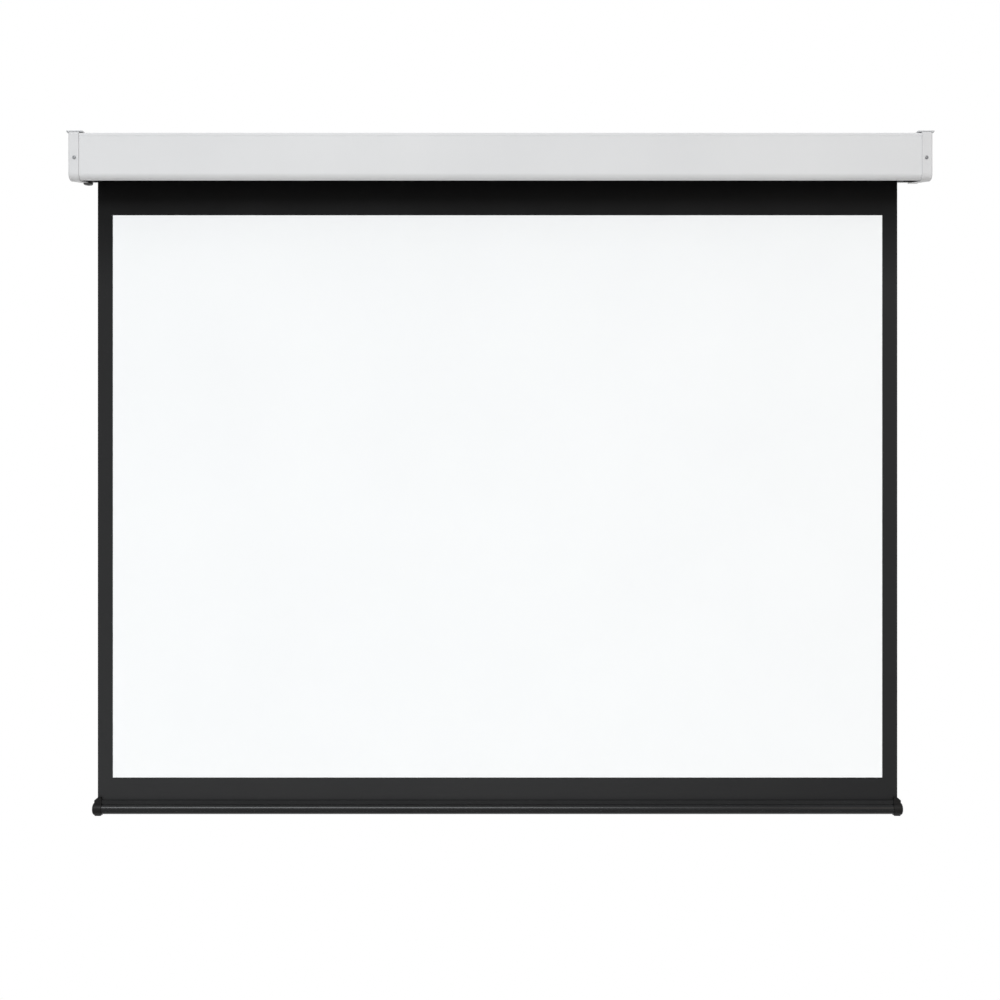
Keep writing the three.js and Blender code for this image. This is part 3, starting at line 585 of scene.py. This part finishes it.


# Painted light in the black sheet's colour: painted shade from the case over its top, and a painted
# sheen that lightens it towards its foot, more on its left than on its right.
sheet_painted_light = blended("MIX", painted_sheen_side.outputs["Result"],
                       painted_shade_and_sheen((0.088, 0.0055), (0.2, 0.0182), (1, 0.0305)),
                       painted_shade_and_sheen((0.08, 0.0065), (0.19, 0.0218), (1, 0.0205)))
sheet_shader = sheet_nodes["Principled BSDF"]
sheet_links.new(blended("MULTIPLY", 1.0, sheet_shader.inputs["Base Color"].links[0].from_socket,
                        sheet_painted_light), sheet_shader.inputs["Base Color"])
white_film = tinted("white_film_vinyl", (0.945, 0.952, 0.957), (0.93, 0.937, 0.944), 0.88, 0.04,
                    1800, 0.00004, specular=0.2, patch=2.5)


def hung_sheet(name, left, right, front, back, top, foot, across, down):
    """A thin closed sheet that hangs flat, cut into a grid"""
    sheet = begin(name, bpy.ops.mesh.primitive_grid_add, x_subdivisions=across, y_subdivisions=down,
                  size=1, rotation=facing)
    sheet.scale = (right - left, top - foot, 1)
    sheet.location = ((left + right) / 2, front, (top + foot) / 2)
    settle(sheet)
    tool(sheet, "SOLIDIFY", thickness=back - front, offset=-1)
    return sheet


backing = hung_sheet("black_backing", sheet_left, sheet_right, backing_front, backing_back,
                     roller_height, sheet_foot, 32, 26)
settle(backing, black_sheet)
film = hung_sheet("white_film", sheet_left + border, sheet_right - border, film_front,
                  film_front + film_thick, film_top, film_foot, 32, 24)
settle(film, white_film)
for piece, slot_name, node in ((backing, "black_sheet", "screen_backing"),
                               (film, "white_film", "viewing_surface")):
    fixed(piece, "case", slot_name, node)
    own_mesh(piece)

# Bottom bar: a black coated aluminium section. A round body hangs under a narrow neck, whose slot
# holds the sheet's hem on a rod, and its weight keeps the sheet taut.
bar_x = (sheet_left + sheet_right) / 2
bar_y = -0.0289
bar_top = -1.678
bar_middle = bar_top - 0.0235
bar_radius = 0.014
bar_half = 1.0612
neck_half = 0.006
slot_half = 0.0017
channel_height = bar_top - 0.013
channel_radius = 0.0046
chamber_radius = 0.0124
chamber_top = bar_top - 0.0192
lengthwise = (0, math.pi / 2, 0)
long_enough = 2 * bar_half + 0.02
bar_black = tinted("bar_black_coat", (0.0025, 0.0028, 0.0034), (0.0045, 0.0048, 0.0054), 0.24, 0.015,
                   1100, 0.00002, specular=0.27, patch=9)
bar = begin("weight_bar", bpy.ops.mesh.primitive_cylinder_add, vertices=96, radius=bar_radius,
            depth=2 * bar_half, location=(bar_x, bar_y, bar_middle), rotation=lengthwise)
settle(bar)
cut(bar, box_cutter((bar_x - bar_half, bar_y - neck_half, bar_middle),
                    (bar_x + bar_half, bar_y + neck_half, bar_top)), "UNION")
cut(bar, box_cutter((bar_x - long_enough / 2, bar_y - slot_half, channel_height),
                    (bar_x + long_enough / 2, bar_y + slot_half, bar_top + 0.01)))
cut(bar, round_cutter((bar_x, bar_y, channel_height), channel_radius, long_enough, lengthwise))
chamber = round_cutter((bar_x, bar_y, bar_middle), chamber_radius, long_enough, lengthwise, 64)
settle(chamber)
cut(chamber, box_cutter((bar_x - long_enough, bar_y - bar_radius, chamber_top),
                        (bar_x + long_enough, bar_y + bar_radius, bar_top)))
cut(bar, chamber)
soften(bar, 0.0004)
smooth(settle(bar, bar_black))
fixed(bar, "bar", "black_bar", "bottom_bar")

# Bar caps: moulded plugs pushed over the bar's ends. A sloping fin runs up beside the sheet's edge,
# the outer rim is rounded, and a small foot stands below.
plug_outer = bar_x - bar_half - 0.0068
plug_inner = plug_outer + 0.024
plug_bottom = plug_outer + 0.0065
plug_radius = 0.0165
plug_rim = 0.0055
plug_neck = 0.0085
fin_outer = plug_outer + 0.0045
fin_inner = plug_inner - 0.0008
fin_peak = bar_top + 0.008
fin_slope = 0.0095
foot_outer = plug_outer + 0.005
foot_inner = foot_outer + 0.017
foot_half = 0.007
foot_under = bar_top - 0.0415
foot_root = bar_middle - 0.0145
socket_length = 0.032
fit = 0.0003
beyond = 0.005
plug_black = tinted("bar_plug_plastic", (0.0045, 0.0042, 0.0042), (0.0075, 0.007, 0.0068), 0.44, 0.06,
                    1300, 0.00005, specular=0.16, patch=40)


def bar_plug(name):
    plug = begin(name, bpy.ops.mesh.primitive_cylinder_add, vertices=64, radius=plug_radius,
                 depth=plug_inner - plug_outer, rotation=lengthwise,
                 location=((plug_inner + plug_outer) / 2, bar_y, bar_middle))
    settle(plug)
    shape(plug)
    pick("EDGE", lambda middle, way: near(middle.x, plug_outer))
    round_off(plug_rim, 6)
    close(plug)
    fin = box_cutter((fin_outer, bar_y - plug_neck, bar_middle),
                     (fin_inner, bar_y + plug_neck, fin_peak))
    settle(fin)
    shape(fin)
    pick("FACE", lambda middle, way: True)
    bpy.ops.mesh.bisect(plane_co=(0, 0, bar_top), plane_no=(0, 0, 1))
    pick("EDGE", lambda middle, way: near(middle.x, fin_outer) and near(middle.z, fin_peak))
    move(x=fin_slope)
    pick("EDGE", lambda middle, way: middle.x < fin_outer + 0.006 and abs(way.y) < 0.1)
    round_off(0.0012, 3)
    close(fin)
    cut(plug, fin, "UNION")
    foot = box_cutter((foot_outer, bar_y - foot_half, foot_under),
                      (foot_inner, bar_y + foot_half, foot_root))
    settle(foot)
    shape(foot)
    pick("EDGE", lambda middle, way: abs(way.z) > 0.9 or middle.z < foot_under + 0.001)
    round_off(0.0016, 3)
    close(foot)
    cut(plug, foot, "UNION")
    cut(plug, round_cutter((plug_bottom + socket_length / 2, bar_y, bar_middle), bar_radius + fit,
                           socket_length, lengthwise, 64))
    cut(plug, box_cutter((plug_bottom, bar_y - neck_half - fit, bar_middle),
                         (plug_inner + beyond, bar_y + neck_half + fit, bar_top + fit)))
    cut(plug, box_cutter((sheet_left - 2 * fit, bar_y - slot_half, bar_top - 0.001),
                         (plug_inner + beyond, bar_y + slot_half, fin_peak + beyond)))
    soften(plug, 0.0003, 55)
    return smooth(settle(plug, plug_black), 35)


left_plug = bar_plug("left_bar_plug")
right_plug = other_end(left_plug, "right_bar_plug", 2 * bar_x)
fixed(left_plug, "bar", "black_plastic", "bar_cap_left")
fixed(right_plug, "bar", "black_plastic", "bar_cap_right")

# Cable gland under the case's left end: a hexagon body through the end plate's lower flange, a lock
# nut above it and a ribbed clamping cap below, all of black nylon.
gland_foot = -0.0448
gland_flange = 0.004
gland_bore = 0.0038
thread_radius = 0.0075
thread_foot = -0.0427
thread_top = -0.0317
grip_radius = 0.012
grip_top = -0.0451
grip_foot = -0.0531
mouth_radius = 0.0062
mouth_depth = 0.0026
gland_nut_middle = (gland_x, gland_y, -0.0357)
nylon_black = tinted("gland_nylon", (0.02, 0.02, 0.021), (0.03, 0.029, 0.029), 0.46, 0.08,
                     1800, 0.00005, patch=60)


def bored(piece, low, high):
    cut(piece, round_cutter((gland_x, gland_y, (low + high) / 2), gland_bore,
                            high - low + 2 * beyond))


gland_body = begin("gland_body", bpy.ops.mesh.primitive_cylinder_add, vertices=6,
                   radius=grip_radius, depth=gland_flange,
                   location=(gland_x, gland_y, gland_foot + gland_flange / 2))
settle(gland_body)
shape(gland_body)
bpy.ops.mesh.select_all(action="SELECT")
round_off(0.0006, 2)
close(gland_body)
cut(gland_body, round_cutter((gland_x, gland_y, (thread_foot + thread_top) / 2), thread_radius,
                             thread_top - thread_foot, sides=48), "UNION")
bored(gland_body, gland_foot, thread_top)
smooth(settle(gland_body, nylon_black), 35)
fixed(gland_body, "case", "black_plastic", "cable_gland")

gland_grip = begin("gland_grip", bpy.ops.mesh.primitive_cylinder_add, vertices=48,
                   radius=grip_radius, depth=grip_top - grip_foot,
                   location=(gland_x, gland_y, (grip_foot + grip_top) / 2))
settle(gland_grip)
shape(gland_grip)
pick("EDGE", lambda middle, way: near(middle.z, grip_foot))
round_off(0.0018, 4)
for turned in range(0, 48, 4):
    angle = math.radians(360 / 48 * (turned + 0.5))
    pick("FACE", lambda middle, way: abs(way.z) < 0.1 and (middle.x - gland_x) * math.cos(angle)
         + (middle.y - gland_y) * math.sin(angle) > grip_radius * math.cos(math.radians(9)))
    bpy.ops.mesh.inset(thickness=0.0006, depth=-0.0006)
close(gland_grip)
bored(gland_grip, grip_foot, grip_top)
cut(gland_grip, begin("cutter", bpy.ops.mesh.primitive_cone_add, vertices=48,
                      radius1=mouth_radius, radius2=gland_bore - 0.0002, depth=mouth_depth,
                      location=(gland_x, gland_y, grip_foot + mouth_depth / 2 - 0.0001)))
smooth(settle(gland_grip, nylon_black), 35)
fixed(gland_grip, "case", "black_plastic", "gland_cap")

gland_nut = begin("gland_nut_ring", bpy.ops.mesh.primitive_cylinder_add, vertices=6, radius=0.0122,
                  depth=0.004, location=gland_nut_middle)
settle(gland_nut)
cut(gland_nut, round_cutter(gland_nut_middle, thread_radius + fit, through, sides=48))
soften(gland_nut, 0.0005, 40)
smooth(settle(gland_nut, nylon_black), 35)
fixed(gland_nut, "case", "black_plastic", "gland_nut")

# Motor head: the black moulded end of the tubular motor, screwed to the left end plate. It has ribs
# round its rim, a spigot into the motor's tube, and two brass limit screws set from below.
roller_y = -0.058
head_left = -1.103
head_length = 0.016
head_right = head_left + head_length
head_radius = 0.024
spigot_radius = 0.0205
spigot_reach = 0.012
spigot_root = 0.002
limit_x = -1.095
limit_aside = 0.008
limit_radius = 0.003
limit_length = 0.009
limit_foot = -0.008627
limit_hole_foot = -0.02
limit_hole_top = 0.0007
motor_screw_aside = 0.015
motor_screw_hole = 0.0028
motor_screw_depth = 0.0126
lead_radius = 0.0025
lead_start = (limit_x, -0.0365, roller_height)
head_black = tinted("motor_head_plastic", (0.02, 0.02, 0.022), (0.032, 0.032, 0.034), 0.52, 0.08,
                    1500, 0.00008, patch=45)
brass = tinted("limit_screw_brass", (0.56, 0.4, 0.16), (0.44, 0.3, 0.11), 0.32, 0.08,
               2200, 0.00003, metallic=1.0, patch=200)
head = begin("motor_end", bpy.ops.mesh.primitive_cylinder_add, vertices=72, radius=head_radius,
             depth=head_length, rotation=lengthwise,
             location=((head_left + head_right) / 2, roller_y, roller_height))
settle(head)
shape(head)
pick("EDGE", lambda middle, way: near(middle.x, head_right) or near(middle.x, head_left))
round_off(0.0008, 3)
for turned in (*range(20, 230, 20), 300, 320, 340):
    angle = math.radians(turned + 2.5)
    pick("FACE", lambda middle, way: abs(way.x) < 0.1 and (middle.y - roller_y) * math.cos(angle)
         + (middle.z - roller_height) * math.sin(angle) > head_radius * math.cos(math.radians(4)))
    bpy.ops.mesh.inset(thickness=0.0005, depth=-0.0009)
close(head)
cut(head, round_cutter((head_right + (spigot_reach - spigot_root) / 2, roller_y, roller_height),
                       spigot_radius, spigot_reach + spigot_root, lengthwise, 48), "UNION")
for side in (-1, 1):
    cut(head, round_cutter((limit_x, roller_y + side * limit_aside,
                            (limit_hole_foot + limit_hole_top) / 2),
                           limit_radius + fit, limit_hole_top - limit_hole_foot))
    cut(head, round_cutter((head_left - fit + motor_screw_depth / 2, roller_y,
                            roller_height + side * motor_screw_aside),
                           motor_screw_hole, motor_screw_depth, lengthwise))
cut(head, round_cutter(lead_start, lead_radius + fit, 0.0095, facing))
smooth(settle(head, head_black), 35)
fixed(head, "case", "black_plastic", "motor_head")

for stop, side in (("up", -1), ("down", 1)):
    screw_y = roller_y + side * limit_aside
    screw = begin(f"{stop}_limit_screw", bpy.ops.mesh.primitive_cylinder_add, vertices=32,
                  radius=limit_radius, depth=limit_length,
                  location=(limit_x, screw_y, limit_foot + limit_length / 2))
    settle(screw)
    shape(screw)
    pick("EDGE", lambda middle, way: near(middle.z, limit_foot))
    round_off(0.0005, 3)
    close(screw)
    cut(screw, round_cutter((limit_x, screw_y, limit_foot), 0.0016, 0.008, sides=6))
    smooth(settle(screw, brass))
    fixed(screw, f"{stop}_limit", "brass", f"limit_screw_{stop}")

# Roller: a drawn aluminium tube between the motor's crown and the idler plug.
roller_left = -1.0803
roller_right = 1.0703
tube_radius = 0.026
tube_wall = 0.0012
bright_tube = tinted("roller_aluminium", (0.5, 0.51, 0.52), (0.42, 0.43, 0.44), 0.36, 0.07,
                     900, 0.00004, metallic=1.0, stretch=(0.05, 1, 1), patch=30)
tube = begin("roller_tube_drawn", bpy.ops.mesh.primitive_cylinder_add, vertices=72,
             radius=tube_radius, depth=roller_right - roller_left, end_fill_type="NOTHING",
             rotation=lengthwise,
             location=((roller_left + roller_right) / 2, roller_y, roller_height))
settle(tube)
tool(tube, "SOLIDIFY", thickness=tube_wall, offset=-1)
soften(tube, 0.0002)
smooth(settle(tube, bright_tube))
fixed(tube, "roller", "aluminium", "roller_tube")

# Turns of sheet left on the roller, wound over the top from the side next to the wall. Each half
# turn is an arc about its own centre, so the radius falls by one pitch with every turn.
wound_radius = 0.0283
wound_pitch = 0.0008
wound_thick = 0.0006
half_turns = 5
wound = begin("wound_sheet", bpy.ops.mesh.primitive_plane_add, size=1)
shape(wound)
pick("VERT", lambda middle, way: middle.y > 0)
bpy.ops.mesh.delete(type="VERT")
bpy.ops.mesh.select_all(action="SELECT")
bpy.ops.transform.resize(value=(sheet_right - sheet_left, 1, 1))
move(x=bar_x, y=0.5 + roller_y + wound_radius, z=roller_height)
for turn in range(half_turns):
    side = 1 if turn % 2 == 0 else -1
    bpy.ops.mesh.spin(steps=28, angle=math.pi, axis=(1, 0, 0), dupli=False,
                      center=(bar_x, roller_y + side * wound_pitch / 4, roller_height))
    reach = wound_radius - (turn + 1) * wound_pitch / 2
    pick("EDGE", lambda middle, way: near(middle.y, roller_y - side * reach)
         and near(middle.z, roller_height) and abs(way.x) > 0.9)
bpy.ops.mesh.select_all(action="SELECT")
bpy.ops.mesh.normals_make_consistent(inside=False)
close(wound)
tool(wound, "SOLIDIFY", thickness=wound_thick, offset=-1)
smooth(settle(wound, black_sheet), 40)
fixed(wound, "roller", "black_sheet", "sheet_roll")

# Terminal block on the left end plate: grey moulded plastic with three screw poles, joined to the
# motor's lead above and to the mains inlet's lead below.
block_low = (-1.103, -0.026, -0.016)
block_high = (-1.089, -0.008, 0.006)
block_face = block_high[0]
block_y = (block_low[1] + block_high[1]) / 2
pole_middle = (block_low[2] + block_high[2]) / 2
pole_crown = block_face + fit + 0.0018
slot_aside = 0.0037
pole_aside = 0.0073
block_grey = tinted("terminal_grey", (0.17, 0.175, 0.18), (0.22, 0.225, 0.23), 0.5, 0.07,
                    1700, 0.00005, patch=70)
terminal = box_cutter(block_low, block_high)
terminal.name = "terminal_strip"
settle(terminal)
shape(terminal)
bpy.ops.mesh.select_all(action="SELECT")
round_off(0.0007, 3)
close(terminal)
for side in (-1, 1):
    slot_height = pole_middle + side * slot_aside
    cut(terminal, box_cutter(
        (block_face - 0.0022, block_low[1] - beyond, slot_height - 0.0006),
        (block_face + beyond, block_high[1] + beyond, slot_height + 0.0006)))
    cut(terminal, round_cutter((block_face, block_y, pole_middle + side * pole_aside),
                               0.0021, 0.008, lengthwise))
cut(terminal, round_cutter((block_face, block_y, pole_middle), 0.0018, 0.04, lengthwise))
smooth(settle(terminal, block_grey), 35)
fixed(terminal, "case", "grey_plastic", "terminal_block")

pole_screw = begin("pole_screw", bpy.ops.mesh.primitive_cylinder_add, vertices=28, radius=0.003,
                   depth=pole_crown - block_face - fit, rotation=lengthwise,
                   location=((pole_crown + block_face + fit) / 2, block_y, pole_middle))
settle(pole_screw)
shape(pole_screw)
pick("EDGE", lambda middle, way: near(middle.x, pole_crown))
round_off(0.0006, 3)
pick("FACE", lambda middle, way: way.x < -0.9 and near(middle.x, block_face + fit))
bpy.ops.mesh.inset(thickness=0.0014)
push(x=-0.0171)
close(pole_screw)
cut(pole_screw, box_cutter((pole_crown - 0.0007, block_y - 0.0035, pole_middle - 0.0004),
                           (pole_crown + 0.0009, block_y + 0.0035, pole_middle + 0.0004)))
smooth(settle(pole_screw, zinc))
fixed(pole_screw, "case", "zinc_steel", "terminal_screw")

lead_black = tinted("lead_jacket", (0.016, 0.016, 0.017), (0.026, 0.026, 0.026), 0.55, 0.08,
                    1600, 0.00006, patch=55)
for lead_name, lead_node, route in (
        ("motor_wire", "motor_lead", (lead_start, (-1.095, -0.027, 0.0162),
                                      (-1.095, -0.0172, 0.0158), (-1.095, -0.017, 0.011),
                                      (-1.095, -0.017, 0.0063))),
        ("inlet_wire", "inlet_lead", ((-1.0888, -0.028, -0.0314), (-1.0888, -0.028, -0.0262),
                                      (-1.0916, -0.0225, -0.0238), (-1.095, -0.017, -0.0214),
                                      (-1.095, -0.017, -0.0163)))):
    lead = begin(lead_name, bpy.ops.curve.primitive_nurbs_path_add)
    lead.data.bevel_depth = lead_radius
    lead.data.bevel_resolution = 5
    lead.data.use_fill_caps = True
    for point, place in zip(lead.data.splines[0].points, route):
        point.co = (*place, 1)
    bpy.ops.object.convert(target="MESH")
    shape(lead)
    bpy.ops.mesh.select_all(action="SELECT")
    bpy.ops.mesh.remove_doubles(threshold=0.00005)
    close(lead)
    smooth(settle(lead, lead_black), 45)
    fixed(lead, "case", "black_plastic", lead_node)

# Rivets that hold the case's back to the end plates: zinc plated, with a sunk head outside and a
# set head inside.
rivet_crown = -0.0055
rivet_seat = -0.0043
for rivet_end, side in (("left", -1), ("right", 1)):
    for rivet_level, rivet_z in rivet_levels:
        rivet = begin(f"{rivet_end}_{rivet_level}_rivet", bpy.ops.mesh.primitive_cylinder_add,
                      vertices=28, radius=0.004, depth=rivet_seat - rivet_crown, rotation=facing,
                      location=(side * rivet_x, (rivet_crown + rivet_seat) / 2, rivet_z))
        settle(rivet)
        shape(rivet)
        pick("EDGE", lambda middle, way: near(middle.y, rivet_crown))
        round_off(0.0009, 4)
        pick("FACE", lambda middle, way: way.y > 0.9 and near(middle.y, rivet_seat))
        bpy.ops.mesh.inset(thickness=0.002)
        push(y=-case_steel - rivet_seat)
        push(y=case_steel - fit)
        bpy.ops.transform.resize(value=(1.6, 1, 1.6))
        bpy.ops.mesh.inset(thickness=0.0021)
        push(y=-0.0006)
        close(rivet)
        smooth(settle(rivet, zinc))
        fixed(rivet, "case", "zinc_steel", f"case_rivet_{rivet_end}_{rivet_level}")

# Idler spring: a coil of round steel wire round the pin's tail, between the plug and the pin's
# collar. It is built at one length, though the real coil shortens as the pin is pressed in.
spring_steel = tinted("spring_steel", (0.42, 0.43, 0.45), (0.33, 0.33, 0.35), 0.28, 0.07,
                      2000, 0.00003, metallic=1.0, patch=120)
coil_left = 1.0361
coil_right = 1.0597
coil_turns = 6
coil_radius = 0.0062
wire_radius = 0.0009
coil = begin("idler_coil", bpy.ops.mesh.primitive_circle_add, vertices=14, radius=wire_radius,
             location=(0, 0, coil_radius), rotation=facing)
settle(coil)
tool(coil, "SCREW", axis="X", steps=32, iterations=coil_turns, use_normal_calculate=True,
     screw_offset=(coil_right - coil_left) / coil_turns)
shape(coil)
bpy.ops.mesh.select_mode(type="EDGE")
bpy.ops.mesh.select_non_manifold()
bpy.ops.mesh.fill_holes(sides=0)
bpy.ops.mesh.select_all(action="SELECT")
bpy.ops.mesh.normals_make_consistent(inside=False)
close(coil)
coil.location = (coil_left, roller_y, roller_height)
smooth(settle(coil, spring_steel), 40)
fixed(coil, "roller", "zinc_steel", "idler_spring")
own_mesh(coil)

# Pieces kept as they are built, inside the case, the roller and the bar: their faces are joined,
# their edges are softened, and each takes the finish of what it is made of.
plate_dark = tinted("plate_black_zinc", (0.03, 0.03, 0.033), (0.05, 0.05, 0.054), 0.45, 0.08,
                    900, 0.00006, metallic=0.6, patch=20)
motor_zinc = tinted("motor_tube_zinc", (0.5, 0.51, 0.5), (0.4, 0.41, 0.42), 0.3, 0.07,
                    1400, 0.00004, metallic=1.0, stretch=(0.1, 1, 1), patch=50)
unit_dark = tinted("motor_unit_paint", (0.04, 0.041, 0.045), (0.06, 0.06, 0.065), 0.5, 0.08,
                   1000, 0.00005, patch=30)
bush_grey = tinted("bush_nylon", (0.3, 0.31, 0.31), (0.36, 0.37, 0.37), 0.48, 0.06,
                   1500, 0.00004, patch=80)
for node_name, finish in (
        ("end_plate_left", plate_dark), ("end_plate_right", plate_dark),
        ("hanger_nut_left", zinc), ("hanger_nut_right", zinc),
        ("motor_screw_lower", zinc), ("motor_screw_upper", zinc), ("motor_tube", motor_zinc),
        ("run_capacitor", bush_grey), ("motor_core", unit_dark), ("motor_gearbox", unit_dark),
        ("motor_crown", head_black), ("output_shaft", spring_steel), ("drive_wheel", head_black),
        ("shaft_clip", spring_steel), ("idler_plug", head_black), ("idler_retainer", spring_steel),
        ("idler_pin", spring_steel), ("idler_bush", bush_grey), ("hem_rod", motor_zinc)):
    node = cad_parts[node_name]
    node.data.materials.clear()
    node.data.materials.append(finish)
    node.data.polygons.foreach_set("use_smooth", [True] * len(node.data.polygons))
    node.modifiers.new("joined_faces", "WELD").merge_threshold = 0.00001
    edge = node.modifiers.new("softened_edges", "BEVEL")
    edge.width = 0.0002
    edge.segments = 2
    edge.limit_method = "ANGLE"
    edge.angle_limit = math.radians(45)
    node.modifiers.new("even_shading", "WEIGHTED_NORMAL")
